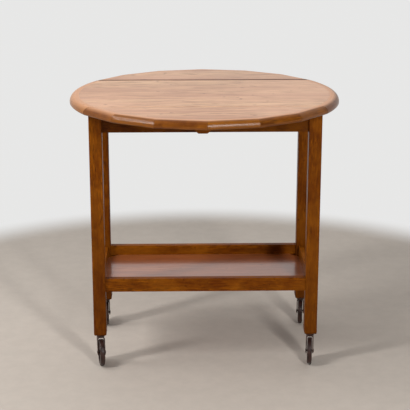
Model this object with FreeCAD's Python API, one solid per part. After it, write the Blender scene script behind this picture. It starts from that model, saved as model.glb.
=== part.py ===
import FreeCAD, Part
import math
import os
from FreeCAD import Vector

# Drop leaf tea trolley.
# Origin on the floor under the middle of the top, +X to the right, +Y to the back, +Z up.
# Lengths are in millimetres. Both leaves are up in this rest position.

# ---- top: cut by two hinge lines into a fixed top with round ends and two many-sided leaves ----
top_height = 650.0            # floor to the upper face of the top
top_radius = 323.5            # middle of the top to its round ends and to each corner of its leaves
leaf_corner_angles = (21.2, 40.9)   # corners of a leaf's edge, in degrees from its middle corner
hinge_corner_angle = 60.0     # corner where a hinge line meets the edge
end_mitre_angle = 80.0        # joint between two curved edge strips of the fixed top
panel_thickness = 19.0
lipping_width = 22.0          # solid edge strip, seen from above
lipping_round = 14.0          # rounding of its upper arris
lipping_bevel = 2.5           # small bevel of its lower arris
leaf_joint_gap = 1.2          # open joint between a leaf and the fixed top

# ---- frame: four square legs, four aprons under the top ----
frame_length = 543.0          # outside of the legs, along X
fold_space = 33.2             # hinge line back to the outer face of the long apron
leg_size = 30.5
leg_edge_round = 2.5
leg_foot_round = 6.0
apron_height = 49.0
apron_thickness = 20.0
apron_setback = 10.0          # outer face of a leg to the outer face of an apron
tenon_length = 14.0
tenon_thickness = 8.0
tenon_shoulder = 5.0          # apron edge to tenon, and between two tenons in one leg
corner_block_size = 36.0
corner_block_height = 24.0

# ---- leaf supports: a wooden arm on a bolt, in a steel bracket on the long apron ----
arm_width = 36.0
arm_reach = 79.0              # hinge line to the tip of the arm
arm_chamfer = 8.0             # along both lower arrises
arm_top_gap = 0.6             # under the top
arm_fold_gap = 1.5            # to the hinge line when folded
arm_back_gap = 2.0            # to the bracket
arm_side_gap = 0.5            # to each cheek
arm_offset = 8.0              # middle of the arm from the middle of the apron
bracket_thickness = 2.5
bracket_height = 24.0
bracket_ear = 16.0            # width of each ear beside the cheeks
bracket_nose = 8.0            # cheek past the bolt
bracket_nose_round = 7.0
bolt_radius = 3.0
bolt_running_gap = 0.08
bolt_head_radius = 5.5
bolt_head_height = 3.5
bolt_head_round = 2.8
bolt_end = 1.0                # thread past the nut
nut_radius = 5.8              # to the corners
nut_height = 5.0

# ---- leaf hinges: back-flap hinges screwed under the top ----
hinge_end_inset = 100.0       # end of a hinge line to the middle of a hinge
flap_length = 50.0
flap_width = 27.0             # from the pin
flap_thickness = 2.0
flap_corner_round = 2.0
flap_knuckle_gap = 0.6        # knuckle to the full width of a flap
knuckle_radius = 3.0
knuckle_gap = 0.4             # between knuckles
pin_radius = 1.5
pin_running_gap = 0.05
pin_clearance = 0.3           # knuckle to the underside of the top

# ---- screws ----
screw_radius = 1.5
screw_head_radius = 2.9
screw_head_height = 1.6
flap_screw_length = 13.0
flap_screw_pitch = 16.0
bracket_screw_length = 15.0
bracket_screw_pitch = 13.0
top_screw_length = 36.0
top_screw_radius = 2.0
top_screw_head_radius = 3.9
top_screw_head_height = 2.4

# ---- tray: a thin board under four gallery rails ----
tray_height = 197.5           # floor to the upper face of the board
tray_rail_height = 33.0
tray_rail_drop = 8.0          # upper face of the board to the lower edge of a rail
tray_rail_thickness = 15.0
tray_rail_setback = 5.0       # outer face of a leg to the long rail
tray_end_rail_thickness = 12.0
tray_end_rail_setback = 12.0  # outer face of a leg to the end rail
tray_tenon_length = 12.0
tray_tenon_thickness = 6.0
tray_board_thickness = 4.0
tray_groove_depth = 5.0       # in the inner face of each rail
tray_groove_gap = 1.0         # edge of the board to the bottom of the groove
tray_leg_gap = 5.0            # clipped corner of the board to the leg

# ---- castors ----
wheel_radius = 32.5
wheel_width = 11.5
tread_round = 3.0
web_recess = 2.0              # dish in each side of the wheel
hub_radius = 6.5
web_radius = 24.0
fork_gap = 1.2                # wheel side to fork
fork_thickness = 2.3
fork_bend = 6.0               # outer rounding where the strip turns down
fork_width = 17.0             # along the wheel, at the crown
fork_eye_radius = 7.0         # round the axle
crown_gap = 3.8               # top of the wheel to the underside of the crown
castor_trail = 10.0           # swivel axis to the axle
stem_radius = 4.0
stem_length = 34.0
stem_running_gap = 0.05
stem_end_gap = 4.0            # end of the stem to the cap of its socket
socket_wall = 2.0
socket_flange_radius = 10.0
socket_flange_thickness = 4.6  # swivel gap to the foot of the leg
swivel_gap = 0.3              # flange to the crown
axle_radius = 2.5
axle_running_gap = 0.06
axle_dome_radius = 4.6
axle_dome_height = 1.2
axle_dome_round = 1.0
# direction in which each castor trails, seen from above, in degrees from +X
castor_trail_angle = {"front_left": -80.0, "front_right": -96.0, "back_left": 93.0, "back_right": 84.0}

# ---- modelling ----
tolerance = 0.01              # for telling edges apart
overcut = 1.0                 # a cutter runs past a face by this much

# ---- values that follow ----
underside = top_height - panel_thickness
hinge_line = top_radius * math.cos(math.radians(hinge_corner_angle))
hinge_half_length = top_radius * math.sin(math.radians(hinge_corner_angle))
hinge_offset = hinge_half_length - hinge_end_inset
leaf_edge = hinge_line + leaf_joint_gap / 2
fixed_edge = hinge_line - leaf_joint_gap / 2
apron_face = hinge_line - fold_space
half_depth = apron_face + apron_setback
half_length = frame_length / 2
leg_x = half_length - leg_size / 2
leg_y = half_depth - leg_size / 2
apron_bottom = underside - apron_height
crown_low = 2 * wheel_radius + crown_gap
crown_top = crown_low + fork_thickness
leg_foot_height = crown_top + swivel_gap + socket_flange_thickness
fork_inside = wheel_width / 2 + fork_gap
fork_outside = fork_inside + fork_thickness
arm_depth = fold_space - arm_fold_gap - arm_back_gap - bracket_thickness
arm_bolt_y = hinge_line - arm_fold_gap - arm_depth / 2
arm_bolt_z = underside - arm_top_gap - arm_depth / 2
cheek_inside = arm_width / 2 + arm_side_gap
cheek_outside = cheek_inside + bracket_thickness
hinge_pin_z = underside - pin_clearance - knuckle_radius
tray_rail_inside = half_depth - tray_rail_setback - tray_rail_thickness
tray_end_inside = half_length - tray_end_rail_setback - tray_end_rail_thickness
tray_rail_bottom = tray_height - tray_rail_drop
legs = {"front_left": (-1, -1), "front_right": (1, -1), "back_left": (-1, 1), "back_right": (1, 1)}
sides = {"front": -1, "back": 1}
ends = {"left": -1, "right": 1}

os.makedirs("parts", exist_ok=True)


def save(name, shape):
    shape.exportStep("parts/" + name + ".step")


def box(x0, x1, y0, y1, z0, z1):
    corner = Vector(min(x0, x1), min(y0, y1), min(z0, z1))
    return Part.makeBox(abs(x1 - x0), abs(y1 - y0), abs(z1 - z0), corner)


def rod(radius, start, end):
    along = Vector(*end) - Vector(*start)
    return Part.makeCylinder(radius, along.Length, Vector(*start), along)


def extruded(corners, along):
    corners = [Vector(*corner) for corner in corners]
    face = Part.Face(Part.makePolygon(corners + corners[:1]))
    return face.extrude(Vector(*along))


def prism(points, z0, z1):
    return extruded([(x, y, z0) for x, y in points], (0, 0, z1 - z0))


def turned(shape, degrees):
    copy = shape.copy()
    copy.rotate(Vector(0, 0, 0), Vector(0, 0, 1), degrees)
    return copy


def moved(shape, x=0.0, y=0.0, z=0.0):
    copy = shape.copy()
    copy.translate(Vector(x, y, z))
    return copy


def group(shapes):
    return Part.makeCompound(shapes)


def edges_along(shape, way):
    # edges whose two ends lie apart along x, y or z
    found = []
    for edge in shape.Edges:
        span = edge.Vertexes[0].Point - edge.Vertexes[-1].Point
        if abs(getattr(span, way)) > tolerance:
            found.append(edge)
    return found


def edges_at(edges, way, value):
    # those of the edges whose ends lie in one plane across x, y or z
    return [e for e in edges if all(abs(getattr(v.Point, way) - value) < tolerance for v in e.Vertexes)]


def round_edges(shape):
    return [e for e in shape.Edges if e.Closed]


def countersunk_screw(tip, head, length, radius, head_radius, head_height):
    # head is the middle of the flat head and tip gives the direction into the wood
    way = Vector(*tip).normalize()
    cone = Part.makeCone(head_radius, radius, head_height, Vector(*head), way)
    shank = Part.makeCylinder(radius, length, Vector(*head), way)
    return cone.fuse(shank).removeSplitter()


def small_screw(tip, head, length):
    return countersunk_screw(tip, head, length, screw_radius, screw_head_radius, screw_head_height)


# ---- leaves: a panel is a list of sides, each with the way it faces and its distance from the middle ----
def rim_sides(angles):
    # the straight sides between corners that lie on one circle; 0 degrees faces the front
    pairs = zip(angles, angles[1:])
    return [((a + b) / 2, top_radius * math.cos(math.radians(b - a) / 2)) for a, b in pairs]


def meet(first, second):
    # where two sides cross
    (a, p), (b, q) = first, second
    a, b = math.radians(a), math.radians(b)
    turn = math.sin(b - a)
    return ((q * math.cos(a) - p * math.cos(b)) / turn, (q * math.sin(a) - p * math.sin(b)) / turn)


def corners(sides):
    # corner k is where side k starts
    return [meet(sides[k - 1], sides[k]) for k in range(len(sides))]


def inset(sides, lipped):
    return [(facing, far - lipping_width * (k in lipped)) for k, (facing, far) in enumerate(sides)]


def lipping_profile(far):
    # square inside, rounded upper arris and small lower bevel, drawn across X for a side that faces +X
    inner = far - lipping_width
    upper_start = Vector(far - lipping_round, 0, top_height)
    upper_end = Vector(far, 0, top_height - lipping_round)
    middle = lipping_round * math.cos(math.pi / 4)
    upper_middle = Vector(far - lipping_round + middle, 0, top_height - lipping_round + middle)
    points = [Vector(far, 0, underside + lipping_bevel), Vector(far - lipping_bevel, 0, underside)]
    points += [Vector(inner, 0, underside), Vector(inner, 0, top_height), upper_start]
    edges = [Part.Arc(upper_start, upper_middle, upper_end).toShape()]
    edges.append(Part.LineSegment(upper_end, points[0]).toShape())
    edges += [Part.LineSegment(a, b).toShape() for a, b in zip(points, points[1:])]
    return Part.Face(Part.Wire(edges))


def lipping(sides, lipped):
    # one straight strip to a side, mitred to its neighbours and square where a joint cuts it
    outer = corners(sides)
    inner = corners(inset(sides, lipped))
    strips = []
    for k in lipped:
        facing, far = sides[k]
        face = lipping_profile(far)
        strip = turned(moved(face.extrude(Vector(0, 2 * top_radius, 0)), y=-top_radius), facing - 90)
        ends_of_side = ((outer[k], inner[k]), (outer[(k + 1) % len(sides)], inner[(k + 1) % len(sides)]))
        (a, b), (c, d) = [[(2 * o[0] - i[0], 2 * o[1] - i[1]), (2 * i[0] - o[0], 2 * i[1] - o[1])]
                          for o, i in ends_of_side]
        strips.append(strip.common(prism([a, c, d, b], underside - overcut, top_height + overcut)))
    return group(strips)


def field_panel(sides, lipped):
    return prism(corners(inset(sides, lipped)), underside, top_height)


# ---- fixed top: a disc between the two hinge lines ----
def between_joints():
    return box(-top_radius, top_radius, -fixed_edge, fixed_edge, underside - overcut, top_height + overcut)


def round_field():
    disc = rod(top_radius - lipping_width, (0, 0, underside), (0, 0, top_height))
    return disc.common(between_joints())


def curved_strip(start, end):
    # angles in degrees from the front, counterclockwise seen from above
    face = turned(lipping_profile(top_radius), start - 90)
    return face.revolve(Vector(0, 0, 0), Vector(0, 0, 1), end - start).common(between_joints())


def end_lipping(end):
    # the first and last strips start past the hinge lines and are cut there
    angles = [hinge_corner_angle / 2, end_mitre_angle, 180 - end_mitre_angle, 180 - hinge_corner_angle / 2]
    strips = [curved_strip(a, b) for a, b in zip(angles, angles[1:])]
    return group([turned(strip, 0 if end > 0 else 180) for strip in strips])


# ---- rails and aprons ----
def rail(half_span, height, thickness, tenon, tenon_width, z_bottom, upper_tenon):
    # along X, middled on Y, with one tenon at each end, in its upper or its lower half
    body = box(-half_span, half_span, -thickness / 2, thickness / 2, z_bottom, z_bottom + height)
    tenon_height = (height - 3 * tenon_shoulder) / 2
    low = z_bottom + tenon_shoulder
    if upper_tenon:
        low += tenon_height + tenon_shoulder
    reach = half_span + tenon
    tongue = box(-reach, reach, -tenon_width / 2, tenon_width / 2, low, low + tenon_height)
    return body.fuse(tongue).removeSplitter()


def long_apron(side):
    piece = rail(half_length - leg_size, apron_height, apron_thickness, tenon_length, tenon_thickness,
                 apron_bottom, True)
    return moved(piece, y=side * (apron_face - apron_thickness / 2))


def end_apron(end):
    piece = rail(half_depth - leg_size, apron_height, apron_thickness, tenon_length, tenon_thickness,
                 apron_bottom, False)
    return moved(turned(piece, 90), x=end * (half_length - apron_setback - apron_thickness / 2))


def tray_long_rail(side):
    piece = rail(half_length - leg_size, tray_rail_height, tray_rail_thickness, tray_tenon_length,
                 tray_tenon_thickness, tray_rail_bottom, True)
    return moved(piece, y=side * (tray_rail_inside + tray_rail_thickness / 2)).cut(tray_grooves())


def tray_end_rail(end):
    piece = rail(half_depth - leg_size, tray_rail_height, tray_end_rail_thickness, tray_tenon_length,
                 tray_tenon_thickness, tray_rail_bottom, False)
    piece = moved(turned(piece, 90), x=end * (tray_end_inside + tray_end_rail_thickness / 2))
    return piece.cut(tray_grooves())


def tray_grooves():
    # the space of the board's edges, as far as the legs
    x = half_length - leg_size
    y = half_depth - leg_size
    groove_x = tray_end_inside + tray_groove_depth
    groove_y = tray_rail_inside + tray_groove_depth
    z0 = tray_height - tray_board_thickness
    long_pair = box(-x, x, -groove_y, groove_y, z0, tray_height)
    return long_pair.fuse(box(-groove_x, groove_x, -y, y, z0, tray_height))


def tray_board():
    x = tray_end_inside + tray_groove_depth - tray_groove_gap
    y = tray_rail_inside + tray_groove_depth - tray_groove_gap
    # each corner is cut at 45 degrees, clear of the inner arris of its leg
    cut = half_length - leg_size + half_depth - leg_size - tray_leg_gap * math.sqrt(2)
    points = []
    for sx, sy in ((1, -1), (1, 1), (-1, 1), (-1, -1)):
        pair = [(sx * x, sy * (cut - x)), (sx * (cut - y), sy * y)]
        points += pair if sx * sy > 0 else pair[::-1]
    return prism(points, tray_height - tray_board_thickness, tray_height)


# ---- legs ----
def leg_blank():
    half = leg_size / 2
    blank = box(-half, half, -half, half, leg_foot_height, underside)
    rounded = blank.makeFillet(leg_edge_round, edges_along(blank, "z"))
    foot = edges_at(blank.Edges, "z", leg_foot_height)
    return rounded.common(blank.makeFillet(leg_foot_round, foot))


def corner_block(sx, sy):
    # a three-cornered block against both aprons, notched where the leg stands in further than they do
    x = sx * (half_length - apron_setback - apron_thickness)
    y = sy * (apron_face - apron_thickness)
    points = [(x, y), (x, y - sy * corner_block_size), (x - sx * corner_block_size, y)]
    block = prism(points, underside - corner_block_height, underside)
    inner_x = sx * (half_length - leg_size)
    inner_y = sy * (half_depth - leg_size)
    leg = box(sx * half_length, inner_x, sy * half_depth, inner_y, leg_foot_height, underside)
    return block.cut(leg)


def block_screw(sx, sy):
    x = sx * (half_length - apron_setback - apron_thickness - corner_block_size / 4)
    y = sy * (apron_face - apron_thickness - corner_block_size / 4)
    z = underside - corner_block_height
    return countersunk_screw((0, 0, 1), (x, y, z), top_screw_length, top_screw_radius,
                             top_screw_head_radius, top_screw_head_height)


# ---- leaf supports, made for the front and turned half a turn for the back ----
def at_bolt(x0, x1, radius):
    return rod(radius, (x0, -arm_bolt_y, arm_bolt_z), (x1, -arm_bolt_y, arm_bolt_z))


def support_arm():
    # a bar with a round heel on the bolt, its lower arrises and the lower edge of its tip chamfered
    half = arm_width / 2
    low = arm_bolt_z - arm_depth / 2
    high = arm_bolt_z + arm_depth / 2
    tip = -(hinge_line + arm_reach)
    side = [(tip, high), (tip, low + arm_chamfer), (tip + arm_chamfer, low)]
    side += [(-arm_bolt_y, low), (-arm_bolt_y, high)]
    section = [(half, high), (half, low + arm_chamfer), (half - arm_chamfer, low)]
    section += [(-x, z) for x, z in reversed(section)]
    bar = extruded([(-half, y, z) for y, z in side], (arm_width, 0, 0))
    bar = bar.common(extruded([(x, tip, z) for x, z in section], (0, -arm_bolt_y - tip, 0)))
    arm = bar.fuse(at_bolt(-half, half, arm_depth / 2)).removeSplitter()
    return arm.cut(at_bolt(-half - overcut, half + overcut, bolt_radius + bolt_running_gap))


def arm_bracket():
    # a back plate with two ears and two cheeks that hold the bolt
    ear_edge = cheek_outside + bracket_ear
    face = -apron_face
    z1 = underside - arm_top_gap
    z0 = z1 - bracket_height
    plate = box(-ear_edge, ear_edge, face - bracket_thickness, face, z0, z1)
    nose = -(arm_bolt_y + bracket_nose)
    for way in (-1, 1):
        cheek = box(way * cheek_inside, way * cheek_outside, nose, face, z0, z1)
        front = edges_at(edges_along(cheek, "x"), "y", nose)
        plate = plate.fuse(cheek.makeFillet(bracket_nose_round, front))
    return plate.removeSplitter().cut(at_bolt(-ear_edge, ear_edge, bolt_radius))


def arm_bolt():
    head_top = -cheek_outside - bolt_head_height
    head = at_bolt(head_top, -cheek_outside, bolt_head_radius)
    head = head.makeFillet(bolt_head_round, edges_at(round_edges(head), "x", head_top))
    return head.fuse(at_bolt(-cheek_outside, cheek_outside + nut_height + bolt_end, bolt_radius))


def arm_nut():
    turns = [math.radians(60 * k) for k in range(6)]
    points = [(nut_radius * math.cos(a), nut_radius * math.sin(a)) for a in turns]
    nut = prism(points, 0.0, nut_height).cut(Part.makeCylinder(bolt_radius, nut_height))
    nut.rotate(Vector(0, 0, 0), Vector(0, 1, 0), 90)
    return moved(nut, cheek_outside, -arm_bolt_y, arm_bolt_z)


def bracket_screws():
    x = cheek_outside + bracket_ear / 2
    z = underside - arm_top_gap - bracket_height / 2
    y = -(apron_face + bracket_thickness)
    spots = [(sx * x, y, z + sz * bracket_screw_pitch / 2) for sx in (-1, 1) for sz in (-1, 1)]
    return [small_screw((0, 1, 0), spot, bracket_screw_length) for spot in spots]


# ---- hinges, made for the front and turned half a turn for the back ----
def at_pin(x0, x1, radius):
    return rod(radius, (x0, -hinge_line, hinge_pin_z), (x1, -hinge_line, hinge_pin_z))


def hinge_flap(way, own_thirds, middle_x):
    # way is 1 for the flap on the fixed top and -1 for the flap on the leaf
    third = flap_length / 3
    y = -hinge_line
    near = y + way * (knuckle_radius + flap_knuckle_gap)
    far = y + way * flap_width
    left = middle_x - flap_length / 2
    right = middle_x + flap_length / 2
    flap = box(left, right, near, far, underside - flap_thickness, underside)
    flap = flap.makeFillet(flap_corner_round, edges_at(edges_along(flap, "z"), "y", far))
    for k in own_thirds:
        x0 = left + k * third + (knuckle_gap / 2 if k > 0 else 0.0)
        x1 = left + (k + 1) * third - (knuckle_gap / 2 if k < 2 else 0.0)
        bridge = box(x0, x1, y, near, underside - flap_thickness, underside)
        flap = flap.fuse(bridge).fuse(at_pin(x0, x1, knuckle_radius))
    bore = pin_radius + (pin_running_gap if way < 0 else 0.0)
    flap = flap.removeSplitter().cut(at_pin(left - overcut, right + overcut, bore))
    return flap.cut(group(flap_screws(way, middle_x)))


def hinge_pin(middle_x):
    return at_pin(middle_x - flap_length / 2, middle_x + flap_length / 2, pin_radius)


def flap_screws(way, middle_x):
    y = -hinge_line + way * (knuckle_radius + flap_width) / 2
    z = underside - flap_thickness
    spots = [(middle_x + k * flap_screw_pitch, y, z) for k in (-1, 0, 1)]
    return [small_screw((0, 0, 1), spot, flap_screw_length) for spot in spots]


# ---- castors, made at the origin, trailing along +X ----
def at_axle(y0, y1, radius):
    return rod(radius, (castor_trail, y0, wheel_radius), (castor_trail, y1, wheel_radius))


def castor_wheel():
    half = wheel_width / 2
    disc = at_axle(-half, half, wheel_radius)
    disc = disc.makeFillet(tread_round, round_edges(disc))
    for way in (-1, 1):
        bottom = way * (half - web_recess)
        dish = at_axle(bottom, way * (half + overcut), web_radius)
        disc = disc.cut(dish.cut(at_axle(bottom, way * (half + overcut), hub_radius)))
    return disc.cut(at_axle(-half, half, axle_radius + axle_running_gap))


def castor_fork():
    # a steel strip bent down on both sides of the wheel to round eyes at the axle, with a stem on its crown
    half = fork_width / 2
    low = wheel_radius - fork_eye_radius
    far = castor_trail + fork_eye_radius
    outer = box(-half, far, -fork_outside, fork_outside, low, crown_top)
    outer = outer.makeFillet(fork_bend, edges_at(edges_along(outer, "x"), "z", crown_top))
    inner = box(-half, far, -fork_inside, fork_inside, low, crown_low)
    inner = inner.makeFillet(fork_bend - fork_thickness, edges_at(edges_along(inner, "x"), "z", crown_low))
    side = [(-half, crown_top), (half, crown_top), (half, crown_low - fork_bend), (far, wheel_radius),
            (castor_trail - fork_eye_radius, wheel_radius), (-half, crown_low - fork_bend)]
    outline = extruded([(x, -fork_outside, z) for x, z in side], (0, 2 * fork_outside, 0))
    outline = outline.fuse(at_axle(-fork_outside, fork_outside, fork_eye_radius))
    stem = rod(stem_radius, (0, 0, crown_low), (0, 0, crown_top + stem_length))
    fork = outer.cut(inner).common(outline).fuse(stem).removeSplitter()
    return fork.cut(at_axle(-fork_outside, fork_outside, axle_radius))


def castor_axle():
    axle = at_axle(-fork_outside, fork_outside, axle_radius)
    for way in (-1, 1):
        dome_top = way * (fork_outside + axle_dome_height)
        dome = at_axle(way * fork_outside, dome_top, axle_dome_radius)
        axle = axle.fuse(dome.makeFillet(axle_dome_round, edges_at(round_edges(dome), "y", dome_top)))
    return axle.removeSplitter()


def socket_outside():
    # a sleeve driven up into the foot of the leg, with a flange under it
    cap = crown_top + stem_length + stem_end_gap + socket_wall
    sleeve = rod(stem_radius + stem_running_gap + socket_wall, (0, 0, leg_foot_height), (0, 0, cap))
    flange = rod(socket_flange_radius, (0, 0, crown_top + swivel_gap), (0, 0, leg_foot_height))
    return sleeve.fuse(flange).removeSplitter()


def castor_socket():
    end = crown_top + stem_length + stem_end_gap
    return socket_outside().cut(rod(stem_radius + stem_running_gap, (0, 0, crown_top), (0, 0, end)))


# ---- the pieces in place ----
def at_leg(shape, name):
    sx, sy = legs[name]
    return moved(turned(shape, castor_trail_angle[name]), sx * leg_x, sy * leg_y)


aprons = {name + "_apron": long_apron(side) for name, side in sides.items()}
aprons.update({name + "_apron": end_apron(end) for name, end in ends.items()})
tray_rails = {"tray_" + name + "_rail": tray_long_rail(side) for name, side in sides.items()}
tray_rails.update({"tray_" + name + "_rail": tray_end_rail(end) for name, end in ends.items()})
blocks = [corner_block(*place) for place in legs.values()]
block_screws = [block_screw(*place) for place in legs.values()]

for name, (sx, sy) in legs.items():
    leg = moved(leg_blank(), sx * leg_x, sy * leg_y)
    joined = list(aprons.values()) + list(tray_rails.values()) + [at_leg(socket_outside(), name)]
    save(name + "_leg", leg.cut(group(joined)))
    save(name + "_castor_socket", at_leg(castor_socket(), name))
    save(name + "_castor_fork", at_leg(castor_fork(), name))
    save(name + "_castor_axle", at_leg(castor_axle(), name))
    save(name + "_castor_wheel", at_leg(castor_wheel(), name))

fixed_flap_screws = []
leaf_flap_screws = {"front": [], "back": []}
front_bracket_screws = [moved(screw, x=-arm_offset) for screw in bracket_screws()]
arm_screws = {"front": front_bracket_screws, "back": [turned(s, 180) for s in front_bracket_screws]}
nuts = []
pins = []
for name, side in sides.items():
    turn = 0 if side < 0 else 180
    for end_name, end in ends.items():
        middle_x = hinge_offset * end * -side
        hinge = name + "_" + end_name + "_hinge"
        save(hinge + "_top_flap", turned(hinge_flap(1, (0, 2), middle_x), turn))
        save(hinge + "_leaf_flap", turned(hinge_flap(-1, (1,), middle_x), turn))
        fixed_flap_screws += [turned(screw, turn) for screw in flap_screws(1, middle_x)]
        leaf_flap_screws[name] += [turned(screw, turn) for screw in flap_screws(-1, middle_x)]
        pins.append(turned(hinge_pin(middle_x), turn))
    bracket = moved(arm_bracket(), x=-arm_offset).cut(group(front_bracket_screws))
    save(name + "_support_arm", turned(moved(support_arm(), x=-arm_offset), turn))
    save(name + "_arm_bracket", turned(bracket, turn))
    save(name + "_arm_bolt", turned(moved(arm_bolt(), x=-arm_offset), turn))
    nuts.append(turned(moved(arm_nut(), x=-arm_offset), turn))
save("arm_nuts", group(nuts))
save("hinge_pins", group(pins))
save("top_flap_screws", group(fixed_flap_screws))
save("arm_bracket_screws", group(arm_screws["front"] + arm_screws["back"]))

leaf_angles = [-hinge_corner_angle] + [-a for a in reversed(leaf_corner_angles)] + [0.0]
leaf_angles += list(leaf_corner_angles) + [hinge_corner_angle]
leaf_sides = rim_sides(leaf_angles) + [(180.0, -leaf_edge)]
leaf_lipped = range(len(leaf_sides) - 1)
save("fixed_top", round_field().cut(group(fixed_flap_screws + block_screws)))
for name, end in ends.items():
    save(name + "_end_lipping", end_lipping(end))
for name, side in sides.items():
    turn = 0 if side < 0 else 180
    leaf = turned(field_panel(leaf_sides, leaf_lipped), turn)
    save(name + "_leaf", leaf.cut(group(leaf_flap_screws[name])))
    save(name + "_leaf_lipping", turned(lipping(leaf_sides, leaf_lipped), turn))
    save(name + "_leaf_flap_screws", group(leaf_flap_screws[name]))

for name, piece in aprons.items():
    side_name = name.replace("_apron", "")
    save(name, piece.cut(group(arm_screws[side_name])) if side_name in arm_screws else piece)
save("corner_blocks", group([block.cut(screw) for block, screw in zip(blocks, block_screws)]))
save("corner_block_screws", group(block_screws))
for name, piece in tray_rails.items():
    save(name, piece)
save("tray_board", tray_board())
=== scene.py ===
import math

import bpy
import numpy as np
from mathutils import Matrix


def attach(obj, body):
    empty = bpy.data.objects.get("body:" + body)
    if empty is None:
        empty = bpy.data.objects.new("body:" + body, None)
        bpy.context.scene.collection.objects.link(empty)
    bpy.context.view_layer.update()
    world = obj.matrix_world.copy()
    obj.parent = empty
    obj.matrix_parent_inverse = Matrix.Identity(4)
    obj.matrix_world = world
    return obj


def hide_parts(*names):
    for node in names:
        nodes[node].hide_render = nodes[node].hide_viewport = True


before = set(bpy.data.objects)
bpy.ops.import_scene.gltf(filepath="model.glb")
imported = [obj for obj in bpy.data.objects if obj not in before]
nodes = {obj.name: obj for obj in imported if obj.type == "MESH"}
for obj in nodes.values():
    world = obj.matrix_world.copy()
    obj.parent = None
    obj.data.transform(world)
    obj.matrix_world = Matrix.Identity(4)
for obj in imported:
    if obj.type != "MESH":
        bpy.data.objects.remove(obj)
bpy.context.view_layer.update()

scene = bpy.context.scene
scene.view_settings.view_transform = "Standard"

cameraSettings = {"place": (-0.0603, -2.9478, 1.2459), "pitchDown": 16.602, "yawRight": 1.2, "lens": 109.05,
                  "sensor": 36.0, "nearest": 0.05}


def makeCamera(s):
    data = bpy.data.cameras.new("camera")
    data.sensor_width = s["sensor"]
    data.lens = s["lens"]
    data.clip_start = s["nearest"]
    camera = bpy.data.objects.new("camera", data)
    camera.location = s["place"]
    camera.rotation_euler = (math.radians(90 - s["pitchDown"]), 0.0, -math.radians(s["yawRight"]))
    scene.collection.objects.link(camera)
    scene.camera = camera


makeCamera(cameraSettings)
print("camera placed")


def addNode(tree, kind, **values):
    # values whose name is a socket go to that input, the rest are properties of the node
    node = tree.nodes.new(kind)
    for name, value in values.items():
        if hasattr(node, name):
            setattr(node, name, value)
        else:
            node.inputs[name.replace("_", " ")].default_value = value
    return node


def feed(tree, value, socket):
    # a socket is linked and a plain value is set, a colour with its alpha
    if isinstance(value, bpy.types.NodeSocket):
        tree.links.new(value, socket)
    else:
        socket.default_value = value + (1.0,) if isinstance(value, tuple) else value


def mathNode(tree, operation, first, second=0.0, third=0.0, clamp=False):
    node = addNode(tree, "ShaderNodeMath", operation=operation, use_clamp=clamp)
    for socket, value in zip(node.inputs, (first, second, third)):
        feed(tree, value, socket)
    return node.outputs[0]


def noiseNode(tree, vector, scale, detail, roughness=0.55):
    node = addNode(tree, "ShaderNodeTexNoise", Detail=detail, Roughness=roughness)
    tree.links.new(vector, node.inputs["Vector"])
    feed(tree, scale, node.inputs["Scale"])
    return node.outputs["Fac"]


def rangeNode(tree, value, low, high, outLow=0.0, outHigh=1.0, smooth=True):
    node = tree.nodes.new("ShaderNodeMapRange")
    node.interpolation_type = "SMOOTHSTEP" if smooth else "LINEAR"
    for name, number in (("From Min", low), ("From Max", high), ("To Min", outLow), ("To Max", outHigh)):
        node.inputs[name].default_value = number
    tree.links.new(value, node.inputs["Value"])
    return node.outputs["Result"]


def mixColours(tree, factor, first, second):
    # the mix node's inputs 0, 6 and 7 and its output 2 are the ones for colours
    node = addNode(tree, "ShaderNodeMix", data_type="RGBA")
    for k, value in ((0, factor), (6, first), (7, second)):
        feed(tree, value, node.inputs[k])
    return node.outputs[2]


def splitNode(tree, vector):
    node = tree.nodes.new("ShaderNodeSeparateXYZ")
    tree.links.new(vector, node.inputs[0])
    return node.outputs


def addBump(tree, shader, height, strength, depth):
    bump = addNode(tree, "ShaderNodeBump", Strength=strength, Distance=depth)
    tree.links.new(height, bump.inputs["Height"])
    tree.links.new(bump.outputs[0], shader.inputs["Normal"])


def newMaterial(name):
    material = bpy.data.materials.new(name)
    material.use_nodes = True
    tree = material.node_tree
    coords = tree.nodes.new("ShaderNodeTexCoord").outputs["Object"]
    return material, tree, tree.nodes["Principled BSDF"], coords


def newGroup(name, inputs, outputs):
    # inputs are (name, kind, value) and outputs are (name, kind)
    tree = bpy.data.node_groups.new(name, "ShaderNodeTree")
    for label, kind, value in inputs:
        socket = tree.interface.new_socket(label, in_out="INPUT", socket_type=kind)
        if value is not None:
            socket.default_value = value
    for label, kind in outputs:
        tree.interface.new_socket(label, in_out="OUTPUT", socket_type=kind)
    return tree, tree.nodes.new("NodeGroupInput"), tree.nodes.new("NodeGroupOutput")


def placeGroup(tree, group, vector, values):
    node = tree.nodes.new("ShaderNodeGroup")
    node.node_tree = group
    for name, value in values.items():
        node.inputs[name].default_value = value
    tree.links.new(vector, node.inputs["Vector"])
    return node


# each layer's noise: detail, roughness, and the levels between which it rises from 0 to 1
grainLayers = {
    "figure": (3.0, 0.6, 0.34, 0.66), "mottle": (2.5, 0.6, 0.38, 0.64), "lines": (4.0, 0.65, 0.36, 0.66),
    "pores": (1.0, 0.5, 0.58, 0.70), "patches": (4.0, 0.6, 0.38, 0.66), "marks": (2.0, 0.5, 0.68, 0.76)}
grainShape = {"bendScale": 2.2, "bendDetail": 2.0, "mottleStretch": 3.5, "poresIn": (0.2, 0.8, 0.35, 1.0),
              "lineHeight": 0.35}


def layerNode(tree, vector, scale, layer, smooth=True):
    # a noise raised from its low level to its high one
    detail, roughness, low, high = grainLayers[layer]
    return rangeNode(tree, noiseNode(tree, vector, scale, detail, roughness), low, high, smooth=smooth)


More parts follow.
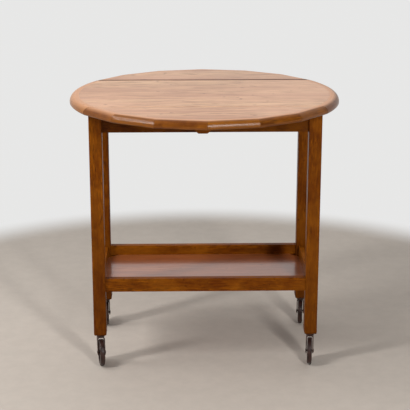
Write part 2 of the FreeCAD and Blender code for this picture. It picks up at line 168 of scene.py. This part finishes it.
def makeGrainGroup(s):
    # the grain runs along X: broad figure, ribbon mottling, fine growth lines and short open pores, each a noise
    # of (x * stretch, y + bend, z + bend), with the mottling stretched less; the height is the lines less the pores
    tree, source, result = newGroup(
        "woodGrain",
        [("Vector", "NodeSocketVector", None), ("Figure Scale", "NodeSocketFloat", 6.0),
         ("Mottle Scale", "NodeSocketFloat", 60.0), ("Line Scale", "NodeSocketFloat", 160.0),
         ("Pore Scale", "NodeSocketFloat", 420.0), ("Stretch", "NodeSocketFloat", 0.06),
         ("Bend", "NodeSocketFloat", 0.01)],
        [(name, "NodeSocketFloat") for name in ("Figure", "Mottle", "Lines", "Pores", "Height")])
    inputs = source.outputs
    bend = noiseNode(tree, inputs["Vector"], s["bendScale"], s["bendDetail"])
    bend = mathNode(tree, "MULTIPLY", mathNode(tree, "SUBTRACT", bend, 0.5), inputs["Bend"])
    parts = splitNode(tree, inputs["Vector"])

    def stretched(times):
        joined = tree.nodes.new("ShaderNodeCombineXYZ")
        along = mathNode(tree, "MULTIPLY", inputs["Stretch"], times)
        tree.links.new(mathNode(tree, "MULTIPLY", parts[0], along), joined.inputs[0])
        for k in (1, 2):
            tree.links.new(mathNode(tree, "ADD", parts[k], bend), joined.inputs[k])
        return joined.outputs[0]

    long, short = stretched(1.0), stretched(s["mottleStretch"])
    figure = layerNode(tree, long, inputs["Figure Scale"], "figure", smooth=False)
    mottle = layerNode(tree, short, inputs["Mottle Scale"], "mottle")
    lines = layerNode(tree, long, inputs["Line Scale"], "lines")
    pores = layerNode(tree, long, inputs["Pore Scale"], "pores")
    pores = mathNode(tree, "MULTIPLY", pores, rangeNode(tree, figure, *s["poresIn"]))
    height = mathNode(tree, "SUBTRACT", mathNode(tree, "MULTIPLY", lines, s["lineHeight"]), pores)
    for socket, value in zip(result.inputs, (figure, mottle, lines, pores, height)):
        tree.links.new(value, socket)
    return tree


def makeWearGroup():
    # soft rubbed patches and a few small marks, each a noise cut off at a level
    tree, source, result = newGroup(
        "handWear",
        [("Vector", "NodeSocketVector", None), ("Patch Scale", "NodeSocketFloat", 9.0),
         ("Mark Scale", "NodeSocketFloat", 60.0)],
        [(name, "NodeSocketFloat") for name in ("Patches", "Marks")])
    inputs = source.outputs
    patches = layerNode(tree, inputs["Vector"], inputs["Patch Scale"], "patches")
    marks = layerNode(tree, inputs["Vector"], inputs["Mark Scale"], "marks")
    tree.links.new(patches, result.inputs["Patches"])
    tree.links.new(marks, result.inputs["Marks"])
    return tree


woodGrain = makeGrainGroup(grainShape)
handWear = makeWearGroup()

# what all the woods share, in metres where it is a size
woodFinish = {"seamFrom": 0.0003, "footHeights": (0.08, 0.45), "poreRoughness": 0.12, "jointRoughness": 0.6,
              "jointHeights": (0.641, 0.646), "bumpDepth": 0.0004}


def jointStainAndShadeMask(tree, coords, s):
    # 1 on the two hinge lines of the top, falling to 0 from half the front or back width to the whole of it, and
    # to 0 below the upper part of the edge; the dark colour it carries is partly a dark joint and partly painted
    # shade for the shadow in the gap
    y, z = splitNode(tree, coords)[1:]
    near = rangeNode(tree, z, *woodFinish["jointHeights"])
    masks = []
    for way, width in zip((-1.0, 1.0), s["jointWidth"]):
        away = mathNode(tree, "ABSOLUTE", mathNode(tree, "SUBTRACT", y, way * s["jointLine"]))
        masks.append(rangeNode(tree, away, 0.5 * width, width, 1.0, 0.0))
    return mathNode(tree, "MULTIPLY", mathNode(tree, "MAXIMUM", *masks), near)


def makeWood(name, s):
    # colour from the figure, then each layer over it by its mask times its strength: mottling, lines, pores,
    # rubbed patches, marks, and where the piece has them strip tones, seams, a paler upper side that is partly a
    # painted highlight, a painted shade darker towards the floor, and the hinge joints, dark partly as painted
    # shade;
    # over all a worn lacquer, which is missing along the joints
    material, tree, shader, coords = newMaterial(name)
    grainCoords = addNode(tree, "ShaderNodeUVMap", uv_map="strip").outputs[0] if s.get("strip") else coords
    mapping = tree.nodes.new("ShaderNodeMapping")
    mapping.inputs["Rotation"].default_value = [math.radians(a) for a in s["turn"]]
    mapping.inputs["Location"].default_value = s["shift"]
    tree.links.new(grainCoords, mapping.inputs[0])
    grain = placeGroup(tree, woodGrain, mapping.outputs[0], s["grain"])
    wear = placeGroup(tree, handWear, grainCoords, s["wear"])
    ramp = tree.nodes.new("ShaderNodeValToRGB")
    ramp.color_ramp.interpolation = "B_SPLINE"
    stops = ramp.color_ramp.elements
    stops.new(0.5)
    for stop, place, colour in zip(stops, (0.0, 0.5, 1.0), s["figure"]):
        stop.position = place
        stop.color = colour + (1.0,)
    tree.links.new(grain.outputs["Figure"], ramp.inputs[0])
    colour = ramp.outputs[0]
    layers = [(grain.outputs["Mottle"], "mottle"), (grain.outputs["Lines"], "line"),
              (grain.outputs["Pores"], "pore"), (wear.outputs["Patches"], "rub"), (wear.outputs["Marks"], "mark")]
    if s.get("strip"):
        tone, apart, upper = (addNode(tree, "ShaderNodeAttribute", attribute_name=label).outputs["Fac"]
                              for label in ("tone", "seam", "upper"))
        seam = rangeNode(tree, apart, woodFinish["seamFrom"], s["seamWidth"], 1.0, 0.0)
        layers += [(tone, "tone"), (seam, "seam"), (upper, "upper")]
    # painted shade: the wood darkens towards the floor, from the higher foot height down to the lower
    if s.get("foot"):
        height = splitNode(tree, coords)[2]
        layers.append((rangeNode(tree, height, *woodFinish["footHeights"], 1.0, 0.0), "foot"))
    rough = mathNode(tree, "MULTIPLY_ADD", wear.outputs["Patches"], s["roughSpread"], s["rough"])
    rough = mathNode(tree, "MULTIPLY_ADD", grain.outputs["Pores"], woodFinish["poreRoughness"], rough)
    shader.inputs["Coat Weight"].default_value = s["coat"]
    if s.get("joint"):
        joint = jointStainAndShadeMask(tree, coords, s)
        layers.append((joint, "joint"))
        rough = mathNode(tree, "MULTIPLY_ADD", joint, woodFinish["jointRoughness"], rough, clamp=True)
        coat = mathNode(tree, "MULTIPLY_ADD", joint, -s["coat"], s["coat"])
        tree.links.new(coat, shader.inputs["Coat Weight"])
    for mask, layer in layers:
        tint, strength = s[layer]
        colour = mixColours(tree, mathNode(tree, "MULTIPLY", mask, strength), colour, tint)
    tree.links.new(colour, shader.inputs["Base Color"])
    tree.links.new(rough, shader.inputs["Roughness"])
    addBump(tree, shader, grain.outputs["Height"], s["bump"], woodFinish["bumpDepth"])
    shader.inputs["Coat Roughness"].default_value = s["coatRough"]
    shader.inputs["Specular IOR Level"].default_value = s["specular"]
    return material


topWood = {
    "turn": (0, 0, 0), "shift": (0.0, 0.0, 0.0),
    "grain": {"Figure Scale": 15.0, "Mottle Scale": 60.0, "Line Scale": 200.0, "Pore Scale": 380.0,
              "Stretch": 0.045, "Bend": 0.012},
    "wear": {"Patch Scale": 4.0, "Mark Scale": 45.0},
    "figure": [(0.46, 0.186, 0.078), (0.67, 0.338, 0.162), (0.86, 0.530, 0.258)],
    "mottle": ((0.46, 0.21, 0.10), 0.25), "line": ((0.34, 0.120, 0.045), 0.75),
    "pore": ((0.15, 0.045, 0.014), 0.90), "rub": ((0.84, 0.500, 0.330), 0.40),
    # the back hinge line is painted dark: partly a dark joint, partly painted shade for the shadow in its gap; the
    # front width lies within the gap
    "mark": ((0.20, 0.065, 0.02), 0.70), "joint": ((0.030, 0.010, 0.003), 1.0),
    "jointLine": 0.16175, "jointWidth": (0.0004, 0.0056),
    "rough": 0.34, "roughSpread": 0.10, "bump": 0.25, "coat": 0.30, "coatRough": 0.22, "specular": 0.45}
frameWood = {
    "turn": (0, 0, 0), "shift": (0.0, 0.0, 0.0),
    "grain": {"Figure Scale": 60.0, "Mottle Scale": 190.0, "Line Scale": 420.0, "Pore Scale": 700.0,
              "Stretch": 0.07, "Bend": 0.02},
    "wear": {"Patch Scale": 14.0, "Mark Scale": 80.0},
    "figure": [(0.140, 0.031, 0.0010), (0.228, 0.058, 0.0016), (0.320, 0.093, 0.0028)],
    "mottle": ((0.080, 0.016, 0.0007), 0.45), "line": ((0.080, 0.015, 0.0009), 0.60),
    "pore": ((0.025, 0.005, 0.0004), 0.85), "rub": ((0.36, 0.115, 0.0050), 0.35),
    "mark": ((0.05, 0.010, 0.001), 0.5),
    "rough": 0.36, "roughSpread": 0.14, "bump": 0.35, "coat": 0.03, "coatRough": 0.20, "specular": 0.05}
trayWood = dict(
    topWood, shift=(0.3, 0.11, 0.0), joint=None,
    figure=[(0.23, 0.064, 0.018), (0.31, 0.096, 0.031), (0.40, 0.136, 0.048)],
    mottle=((0.20, 0.052, 0.014), 0.35), line=((0.16, 0.040, 0.011), 0.50), rub=((0.40, 0.128, 0.042), 0.25),
    rough=0.28, roughSpread=0.06, bump=0.05, coat=0.8, coatRough=0.12, specular=0.5)
lippingWood = dict(
    frameWood, strip=True,
    figure=[(0.110, 0.026, 0.0010), (0.205, 0.056, 0.0022), (0.300, 0.096, 0.0060)],
    tone=((0.40, 0.15, 0.012), 1.0), seam=((0.050, 0.015, 0.003), 0.45), seamWidth=0.0010,
    # upper: the veneer colour on the lipping's flat, and on its rounding partly a painted highlight
    upper=((0.62, 0.300, 0.145), 0.9), joint=topWood["joint"], jointLine=topWood["jointLine"],
    jointWidth=topWood["jointWidth"],
    rough=0.34, roughSpread=0.08, coat=0.50, coatRough=0.28, specular=0.05)
# the aprons and corner blocks: the frame wood painted darker, a painted shade for the shadow under the top's
# overhang
paintedShadeApronWood = dict(
    frameWood, shift=(0.1, 0.02, 0.05),
    figure=[(0.070, 0.015, 0.0008), (0.130, 0.034, 0.0014), (0.200, 0.062, 0.0026)])

alongX, alongY, alongZ = (0, 0, 0), (0, 0, 90), (0, 90, 0)
woodSettings = {
    "topVeneer": topWood,
    "trayVeneer": trayWood,
    "railWood": dict(frameWood, turn=alongX, shift=(0.1, 0.02, 0.05)),
    "endRailWood": dict(frameWood, turn=alongY),
    # the legs' foot layer is painted shade, darker towards the floor
    "legWood": dict(frameWood, turn=alongZ, foot=((0.085, 0.020, 0.0010), 0.55)),
    "paintedShadeApronWood": paintedShadeApronWood,
    "armWood": dict(frameWood, turn=alongY, shift=(0.0, 0.07, 0.0)),
    "lippingWood": lippingWood,
}
woods = {name: makeWood(name, s) for name, s in woodSettings.items()}
print("woods:", ", ".join(woods))


def makeEnamel(name, s):
    # a lacquered or plated surface: worn patches and dusty marks by the wear noises, and a fine orange peel
    material, tree, shader, coords = newMaterial(name)
    wear = placeGroup(tree, handWear, coords, s["wear"])
    colour = mixColours(tree, wear.outputs["Patches"], s["colour"], s["worn"])
    marks = mathNode(tree, "MULTIPLY", wear.outputs["Marks"], s["markStrength"])
    colour = mixColours(tree, marks, colour, s["dust"])
    tree.links.new(colour, shader.inputs["Base Color"])
    rough = mathNode(tree, "MULTIPLY_ADD", wear.outputs["Patches"], s["roughSpread"], s["rough"])
    tree.links.new(rough, shader.inputs["Roughness"])
    peel = noiseNode(tree, coords, s["peelScale"], s["peelDetail"])
    addBump(tree, shader, peel, s["bump"], s["bumpDepth"])
    shader.inputs["Metallic"].default_value = s["metallic"]
    shader.inputs["Coat Weight"].default_value = s["coat"]
    shader.inputs["Coat Roughness"].default_value = s["coatRough"]
    shader.inputs["Specular IOR Level"].default_value = s["specular"]
    return material


steel = {
    "colour": (0.48, 0.45, 0.40), "worn": (0.34, 0.29, 0.23), "dust": (0.16, 0.12, 0.08), "markStrength": 0.5,
    "wear": {"Patch Scale": 60.0, "Mark Scale": 300.0}, "rough": 0.30, "roughSpread": 0.18,
    "peelScale": 900.0, "peelDetail": 2.0, "bump": 0.12, "bumpDepth": 0.0002,
    "metallic": 1.0, "coat": 0.0, "coatRough": 0.12, "specular": 0.5}
bronze = {
    "colour": (0.034, 0.014, 0.010), "worn": (0.070, 0.030, 0.021), "dust": (0.20, 0.14, 0.11),
    "markStrength": 0.35,
    "wear": {"Patch Scale": 70.0, "Mark Scale": 350.0}, "rough": 0.34, "roughSpread": 0.16,
    "peelScale": 1400.0, "peelDetail": 2.0, "bump": 0.10, "bumpDepth": 0.0002,
    "metallic": 0.15, "coat": 0.05, "coatRough": 0.12, "specular": 0.3}
wheelPlastic = dict(bronze, colour=(0.020, 0.008, 0.006), worn=(0.050, 0.021, 0.016), metallic=0.0, coat=0.10)
hardwareSettings = {"plainSteel": steel, "bronzeEnamel": bronze, "wheelPlastic": wheelPlastic}
hardware = {name: makeEnamel(name, s) for name, s in hardwareSettings.items()}
print("hardware:", ", ".join(hardware))


def materialFor(name):
    # the finish of a CAD piece, by its name
    if name in ("fixed_top", "front_leaf", "back_leaf"):
        return woods["topVeneer"]
    if name == "tray_board":
        return woods["trayVeneer"]
    if name.endswith("_leg"):
        return woods["legWood"]
    if name in ("left_apron", "right_apron", "tray_left_rail", "tray_right_rail"):
        return woods["endRailWood"]
    if name.endswith("_support_arm"):
        return woods["armWood"]
    if name.endswith("_wheel"):
        return hardware["wheelPlastic"]
    if "_castor_" in name:
        return hardware["bronzeEnamel"]
    # the front and back aprons and the corner blocks get the wood with painted shade
    if name.endswith("_apron") or name == "corner_blocks":
        return woods["paintedShadeApronWood"]
    if name.endswith("_rail"):
        return woods["railWood"]
    if name.endswith("lipping"):
        return woods["lippingWood"]
    return hardware["plainSteel"]


for name, piece in nodes.items():
    for slot in piece.material_slots:
        slot.material = materialFor(name)
print("finishes given to", len(nodes), "packed pieces")


topSettings = {
    "radius": 0.3235, "width": 0.022, "top": 0.650, "bottom": 0.631, "jointHalf": 0.0006,
    "round": 0.014, "bevel": 0.0025, "roundSteps": 12, "lengthSteps": 20, "cornerSteps": 8, "arcMargin": 0.02,
    "sharpAngle": 32.0, "frontJointBevel": 0.0004, "backJointBevel": 0.0024,
    "leafAngles": (-60.0, -40.9, -21.2, 0.0, 21.2, 40.9, 60.0),
    "leafSoft": (0, 0.050, 0.012, 0.010, 0.012, 0.050, 0),
    "mitreAngles": (80.0, 100.0), "grainShift": (0.37, 0.11), "paleAndHighlightTo": 0.97,
    # where each strip's rounding starts to turn paler, as a share of the quarter turn; the low starts on the left
    # end and the front leaf's leftmost strip are a painted highlight from the left light
    "paleAndHighlightFrom": {"front_leaf_lipping": (0.40, 0.80, 0.80, 0.82, 0.78, 0.76), "back_leaf_lipping": (0.76,) * 6,
                 "right_end_lipping": (0.60,) * 3, "left_end_lipping": (0.15,) * 3},
    "tones": {"front_leaf_lipping": (0.10, 0.15, 0.0, 0.20, 0.05, 0.15),
              "back_leaf_lipping": (0.30, 0.10, 0.50, 0.20, 0.40, 0.15),
              "right_end_lipping": (0.10, 0.25, 0.40), "left_end_lipping": (0.45, 0.60, 0.35)}}


def lineMeet(a, p, b, q):
    # where two lines cross, at distance p facing angle a and at distance q facing angle b: x is
    # (q cos a - p cos b) / sin(b - a) and y the same with sines; 0 faces the front
    turn = math.sin(b - a)
    return np.array([(q * math.cos(a) - p * math.cos(b)) / turn, (q * math.sin(a) - p * math.sin(b)) / turn])


def rimCorners(angles, inset, jointLines, s):
    # corners of the edge: each side faces the middle of its two angles, at distance R cos(half their difference)
    # less the inset, and meets its neighbour or a joint line
    facing = [math.radians((a + b) / 2) for a, b in zip(angles, angles[1:])]
    far = [s["radius"] * math.cos(math.radians(b - a) / 2) - inset for a, b in zip(angles, angles[1:])]
    lines = [jointLines[0]] + list(zip(facing, far)) + [jointLines[1]]
    return np.array([lineMeet(*lines[k], *lines[k + 1]) for k in range(len(lines) - 1)])


def turnedHalf(points, half):
    # half a turn about Z for the pieces of the far side
    return points * (-1.0, -1.0, 1.0) if half else points


def finishPiece(name, mesh, wood, body, s):
    mesh.shade_smooth()
    mesh.set_sharp_from_angle(angle=math.radians(s["sharpAngle"]))
    mesh.materials.append(woods[wood])
    piece = bpy.data.objects.new(mesh.name, mesh)
    scene.collection.objects.link(piece)
    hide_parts(name)
    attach(piece, body)


def stripProfile(s):
    # (depth in from the outer side, height) round the section: a quarter circle of radius r up from the outer
    # side, r (1 - cos t) in and r (1 - sin t) below the top, then along the top to the seam, down the inside,
    # along the underside and up the small bevel
    turns = np.linspace(0.0, math.pi / 2, s["roundSteps"] + 1)
    rounding = np.stack([s["round"] * (1 - np.cos(turns)), s["top"] - s["round"] * (1 - np.sin(turns))], axis=-1)
    rest = np.array([(s["width"] - s["bevel"], s["top"]), (s["width"], s["top"]), (s["width"], s["bottom"]),
                     (s["bevel"], s["bottom"]), (0.0, s["bottom"] + s["bevel"])])
    return np.concatenate([rounding, rest])


def softenedEnd(turn, radius, bevel, s):
    # how far along a side and how far in from it its points lie near a corner: for a corner of half turn h that
    # is softened to radius r, r (tan h - sin t) along and r (1 - cos t) in, as t goes from h to 0; radius 0 is a
    # joint, which has only its end and the start of its bevel
    if radius == 0:
        return np.array([[0.0, 0.0], [bevel, 0.0]])
    t = np.linspace(turn / 2, 0.0, s["cornerSteps"])
    return np.stack([radius * (math.tan(turn / 2) - np.sin(t)), radius * (1 - np.cos(t))], axis=-1)


def leafPlans(angles, jointLines, bevel, s):
    # the plan of each side's strip: a row of points runs from a point of the softened outer line to the point at
    # the same share of the inner line, by the depths of the profile; returned as (plan, distance along, whether
    # each end lies on a joint)
    outer = rimCorners(angles, 0.0, jointLines, s)
    inner = rimCorners(angles, s["width"], jointLines, s)
    share = stripProfile(s)[:, 0] / s["width"]
    soft = s["leafSoft"]
    plans = []
    for k in range(len(angles) - 1):
        span = outer[k + 1] - outer[k]
        length = np.linalg.norm(span)
        way = span / length
        inward = np.array([-way[1], way[0]])
        before, after = angles[max(k - 1, 0)], angles[min(k + 2, len(angles) - 1)]
        turns = math.radians(angles[k + 1] - before) / 2, math.radians(after - angles[k]) / 2
        first = softenedEnd(turns[0], soft[k], bevel, s)
        last = softenedEnd(turns[1], soft[k + 1], bevel, s)[::-1] * (-1, 1) + (length, 0)
        middle = np.linspace(first[-1], last[0], s["lengthSteps"] + 1)[1:-1]
        line = np.concatenate([first, middle, last])
        outerLine = outer[k] + line[:, :1] * way + line[:, 1:] * inward
        innerLine = inner[k] + (inner[k + 1] - inner[k]) * line[:, :1] / length
        plan = outerLine[:, None] + (innerLine - outerLine)[:, None] * share[:, None]
        plans.append((plan, line[:, 0], (soft[k] == 0, soft[k + 1] == 0)))
    return plans


def endPlans(joint, bevels, s):
    # the plan of each strip of a round end: at depth d it is an arc of radius R - d, which leaves the joint line
    # at the angle acos(joint / (R - d)) from the front; t is the share of the way along the arc
    radius = s["radius"] - stripProfile(s)[:, 0]
    meet = np.arccos(joint / radius)
    limits = [meet] + [np.full(len(radius), math.radians(a)) for a in s["mitreAngles"]] + [math.pi - meet]
    plans = []
    for k, (low, high) in enumerate(zip(limits, limits[1:])):
        length = s["radius"] * (high[0] - low[0])
        t = np.linspace(0.0, 1.0, s["lengthSteps"] + 1)
        if k == 0:
            t = np.insert(t, 1, bevels[0] / length)
        if k == len(limits) - 2:
            t = np.insert(t, -1, 1 - bevels[1] / length)
        turns = low + t[:, None] * (high - low)
        plan = radius[:, None] * np.stack([np.sin(turns), -np.cos(turns)], axis=-1)
        plans.append((plan, t * length, (k == 0, k == len(limits) - 2)))
    return plans


def edgeStrips(name, plans, half, bevels, body, s):
    # one strip a plan, each point at its height in the profile; where a strip ends on a joint its upper arris is
    # bevelled. Tone is the strip's own, seam the distance to its nearer end, and upper is 0 up to where the paler
    # colour starts, rises to 1 where it ends on the rounding and is 1 on the flat. The flat takes the veneer's
    # colour;
    # the paler rounding is partly a painted highlight, reaching lowest on the left end and the front leaf's
    # leftmost strip
    profile = stripProfile(s)
    count = len(profile)
    around = np.concatenate([[0.0], np.cumsum(np.linalg.norm(np.diff(profile, axis=0), axis=1))])
    turns = np.linspace(0.0, 1.0, s["roundSteps"] + 1)
    points, faces, uvs, tones, seams, upperAndHighlight = [], [], [], [], [], []
    offset = 0
    for k, (plan, along, onJoint) in enumerate(plans):
        heights = np.tile(profile[:, 1], (len(plan), 1))
        for row, end in ((0, 0), (-1, 1)):
            if onJoint[end]:
                heights[row] = np.minimum(heights[row], s["top"] - bevels[end])
        grid = np.concatenate([plan, heights[..., None]], axis=-1)
        index = np.arange(len(plan) * count).reshape(-1, count) + offset
        right = np.roll(index, -1, axis=1)
        quads = np.stack([index[:-1], index[1:], right[1:], right[:-1]], axis=-1).reshape(-1, 4)
        points.append(grid.reshape(-1, 3))
        faces += quads.tolist() + [index[0].tolist(), index[-1][::-1].tolist()]
        unrolled = np.stack(np.broadcast_arrays(along[:, None], around[None]), axis=-1).reshape(-1, 2)
        uvs.append(unrolled + k * np.array(s["grainShift"]))
        seams.append(np.repeat(np.minimum(along, along[-1] - along), count))
        start = s["paleAndHighlightFrom"][name][k]
        paleAndHighlight = np.clip((turns - start) / (s["paleAndHighlightTo"] - start), 0, 1)
        upperAndHighlight.append(np.tile(np.concatenate([paleAndHighlight, [1, 1], np.zeros(count - len(turns) - 2)]), len(plan)))
        tones += [s["tones"][name][k]] * (len(quads) + 2)
        offset += len(plan) * count
    mesh = bpy.data.meshes.new(name + "Strips")
    mesh.from_pydata(turnedHalf(np.concatenate(points), half).tolist(), [], faces)
    loops = np.empty(len(mesh.loops), dtype=np.int64)
    mesh.loops.foreach_get("vertex_index", loops)
    mesh.uv_layers.new(name="strip").data.foreach_set("uv", np.concatenate(uvs)[loops].ravel())
    mesh.attributes.new("tone", "FLOAT", "FACE").data.foreach_set("value", tones)
    for label, values in (("seam", seams), ("upper", upperAndHighlight)):
        mesh.attributes.new(label, "FLOAT", "POINT").data.foreach_set("value", np.concatenate(values))
    finishPiece(name, mesh, "lippingWood", body, s)


def panel(name, outline, upper, bevels, half, body, s):
    # a flat board of three rings: the outline at the underside, again at the foot of the bevels, and the outline of
    # the upper face, which stands back from the joints by their bevels
    count = len(outline)
    heights = (np.full(count, s["bottom"]), s["top"] - bevels, np.full(count, s["top"]))
    points = np.concatenate([np.column_stack([ring, z]) for ring, z in zip((outline, outline, upper), heights)])
    index = np.arange(3 * count).reshape(-1, count)
    right = np.roll(index, -1, axis=1)
    quads = np.stack([index[:-1], right[:-1], right[1:], index[1:]], axis=-1).reshape(-1, 4)
    mesh = bpy.data.meshes.new(name + "Panel")
    mesh.from_pydata(turnedHalf(points, half).tolist(), [],
                     quads.tolist() + [index[0][::-1].tolist(), index[-1].tolist()])
    finishPiece(name, mesh, "topVeneer", body, s)


def roundOutline(joints, s):
    # the fixed panel's outline: at each end an arc of radius R - width from the front joint, at the angle
    # acos(joint / (R - width)), to the back joint, with even points between that begin a margin past the joints
    radius = s["radius"] - s["width"]
    front, back = (math.acos(j / radius) for j in joints)
    first = max(front, back) + s["arcMargin"]
    middle = np.linspace(first, math.pi - first, (len(s["mitreAngles"]) + 1) * s["lengthSteps"])
    turns = np.concatenate([[front], middle, [math.pi - back, math.pi + back], middle + math.pi,
                            [2 * math.pi - front]])
    return radius * np.column_stack([np.sin(turns), -np.cos(turns)])


def fitTop(s):
    # the seven pieces of the top: a leaf ends half a joint outside its hinge line, the fixed middle half a joint
    # inside it
    hinge = s["radius"] * math.cos(math.radians(s["leafAngles"][-1]))
    fixedEdge = hinge - s["jointHalf"]
    front, back = s["frontJointBevel"], s["backJointBevel"]

    def leafLines(away):
        return ((math.pi, -(hinge + s["jointHalf"] + away)),) * 2

    for side, half, bevel in (("front", False, front), ("back", True, back)):
        angles, leaf = s["leafAngles"], side + "_leaf"
        plans = leafPlans(angles, leafLines(0.0), bevel, s)
        edgeStrips(leaf + "_lipping", plans, half, (bevel, bevel), leaf, s)
        outline, upper = [rimCorners(angles, s["width"], leafLines(away), s) for away in (0.0, bevel)]
        panel(leaf, outline, upper, np.full(len(outline), bevel), half, leaf, s)
    for end, half, bevels in (("right", False, (front, back)), ("left", True, (back, front))):
        edgeStrips(end + "_end_lipping", endPlans(fixedEdge, bevels, s), half, bevels, "frame", s)
    outline = roundOutline((fixedEdge, fixedEdge), s)
    upper = roundOutline((fixedEdge - front, fixedEdge - back), s)
    panel("fixed_top", outline, upper, np.where(outline[:, 1] < 0, front, back), False, "frame", s)


fitTop(topSettings)
print("edge strips and panels fitted to the top")


stageSettings = {
    "floorColour": (0.52, 0.462, 0.405), "wallColour": (0.80, 0.80, 0.795), "fade": (1.00, 1.22),
    "floorHalf": 14.0, "rough": 0.7, "specular": 0.15,
    "speckNoise": (26.0, 5.0, 0.7), "speckLevels": (0.3, 0.7), "speckDark": 0.94,
    "behind": (-0.20, 0.60, 0.05, 0.90), "above": (0.10, 0.90, 0.0, 0.10), "left": (-0.2, -0.9, 0.0, 0.45),
    "skyMost": 1.0}


def makeFloor(s):
    # a flat floor with faint specks; to the camera, in mirror images and through clear things it turns into the
    # wall's colour as the distance from the middle goes over the fade
    mesh = bpy.data.meshes.new("floor")
    half = s["floorHalf"]
    mesh.from_pydata([(-half, -half, 0), (half, -half, 0), (half, half, 0), (-half, half, 0)], [], [(0, 1, 2, 3)])
    material, tree, shader, coords = newMaterial("paleFloor")
    shader.inputs["Roughness"].default_value = s["rough"]
    shader.inputs["Specular IOR Level"].default_value = s["specular"]
    speck = rangeNode(tree, noiseNode(tree, coords, *s["speckNoise"]), *s["speckLevels"])
    dark = tuple(s["speckDark"] * v for v in s["floorColour"])
    tree.links.new(mixColours(tree, speck, dark, s["floorColour"]), shader.inputs["Base Color"])
    length = addNode(tree, "ShaderNodeVectorMath", operation="LENGTH")
    tree.links.new(coords, length.inputs[0])
    fade = rangeNode(tree, length.outputs["Value"], *s["fade"])
    rays = tree.nodes.new("ShaderNodeLightPath").outputs
    seen = mathNode(tree, "MAXIMUM", rays["Is Camera Ray"],
                    mathNode(tree, "MAXIMUM", rays["Is Glossy Ray"], rays["Is Transmission Ray"]))
    glow = addNode(tree, "ShaderNodeEmission", Color=s["wallColour"] + (1.0,), Strength=1.0)
    mix = tree.nodes.new("ShaderNodeMixShader")
    shares = (mathNode(tree, "MULTIPLY", fade, seen), shader.outputs[0], glow.outputs[0])
    for value, socket in zip(shares, mix.inputs):
        tree.links.new(value, socket)
    tree.links.new(mix.outputs[0], tree.nodes["Material Output"].inputs[0])
    mesh.materials.append(material)
    floor = bpy.data.objects.new("floor", mesh)
    scene.collection.objects.link(floor)


def makeWorld(s):
    # camera rays see the wall's colour; all other rays see a grey sky whose strength is the sum of three parts,
    # one that grows to the back, one overhead and one to the left, and at most 1
    world = bpy.data.worlds.new("room")
    scene.world = world
    world.use_nodes = True
    tree = world.node_tree
    for node in list(tree.nodes):
        tree.nodes.remove(node)
    output = tree.nodes.new("ShaderNodeOutputWorld")
    seen = addNode(tree, "ShaderNodeBackground", Color=s["wallColour"] + (1.0,), Strength=1.0)
    lit = tree.nodes.new("ShaderNodeBackground")
    across, back, up = splitNode(tree, tree.nodes.new("ShaderNodeTexCoord").outputs["Generated"])
    behind = rangeNode(tree, back, *s["behind"])
    above = rangeNode(tree, up, *s["above"])
    left = rangeNode(tree, across, *s["left"])
    level = mathNode(tree, "ADD", mathNode(tree, "ADD", behind, above), left)
    tree.links.new(mathNode(tree, "MINIMUM", level, s["skyMost"]), lit.inputs["Strength"])
    rays = tree.nodes.new("ShaderNodeLightPath").outputs
    mix = tree.nodes.new("ShaderNodeMixShader")
    for value, socket in zip((rays["Is Camera Ray"], lit.outputs[0], seen.outputs[0]), mix.inputs):
        tree.links.new(value, socket)
    tree.links.new(mix.outputs[0], output.inputs[0])


lamps = {
    "leftWindow": {"place": (-1.50, -0.05, 2.00), "aim": (0.0, 0.0, 0.4), "size": (0.5, 0.5), "power": 10.0},
    "leftGlint": {"place": (-2.00, -1.155, 2.15), "aim": (0.0, 0.0, 0.6), "size": (0.28, 1.5), "power": 43.0},
    "rightWindow": {"place": (0.87, -2.25, 1.65), "aim": (0.0, 0.0, 0.6), "size": (0.22, 1.3), "power": 34.0},
    "ceiling": {"place": (-0.4, 0.5, 3.2), "aim": (0.0, 0.0, 0.5), "size": (2.6, 2.6), "power": 4.0},
}


def makeLamps(settings):
    # rectangular area lamps, each turned so that it faces its aim
    for name, s in settings.items():
        data = bpy.data.lights.new(name, "AREA")
        data.shape = "RECTANGLE"
        data.size, data.size_y = s["size"]
        data.energy = s["power"]
        lamp = bpy.data.objects.new(name, data)
        lamp.location = s["place"]
        way = np.array(s["aim"]) - np.array(s["place"])
        flat = math.hypot(way[0], way[1])
        lamp.rotation_euler = (math.atan2(flat, -way[2]), 0.0, math.atan2(way[1], way[0]) - math.pi / 2)
        lamp.visible_camera = False
        scene.collection.objects.link(lamp)


makeFloor(stageSettings)
makeWorld(stageSettings)
makeLamps(lamps)
print("floor and lamps set")
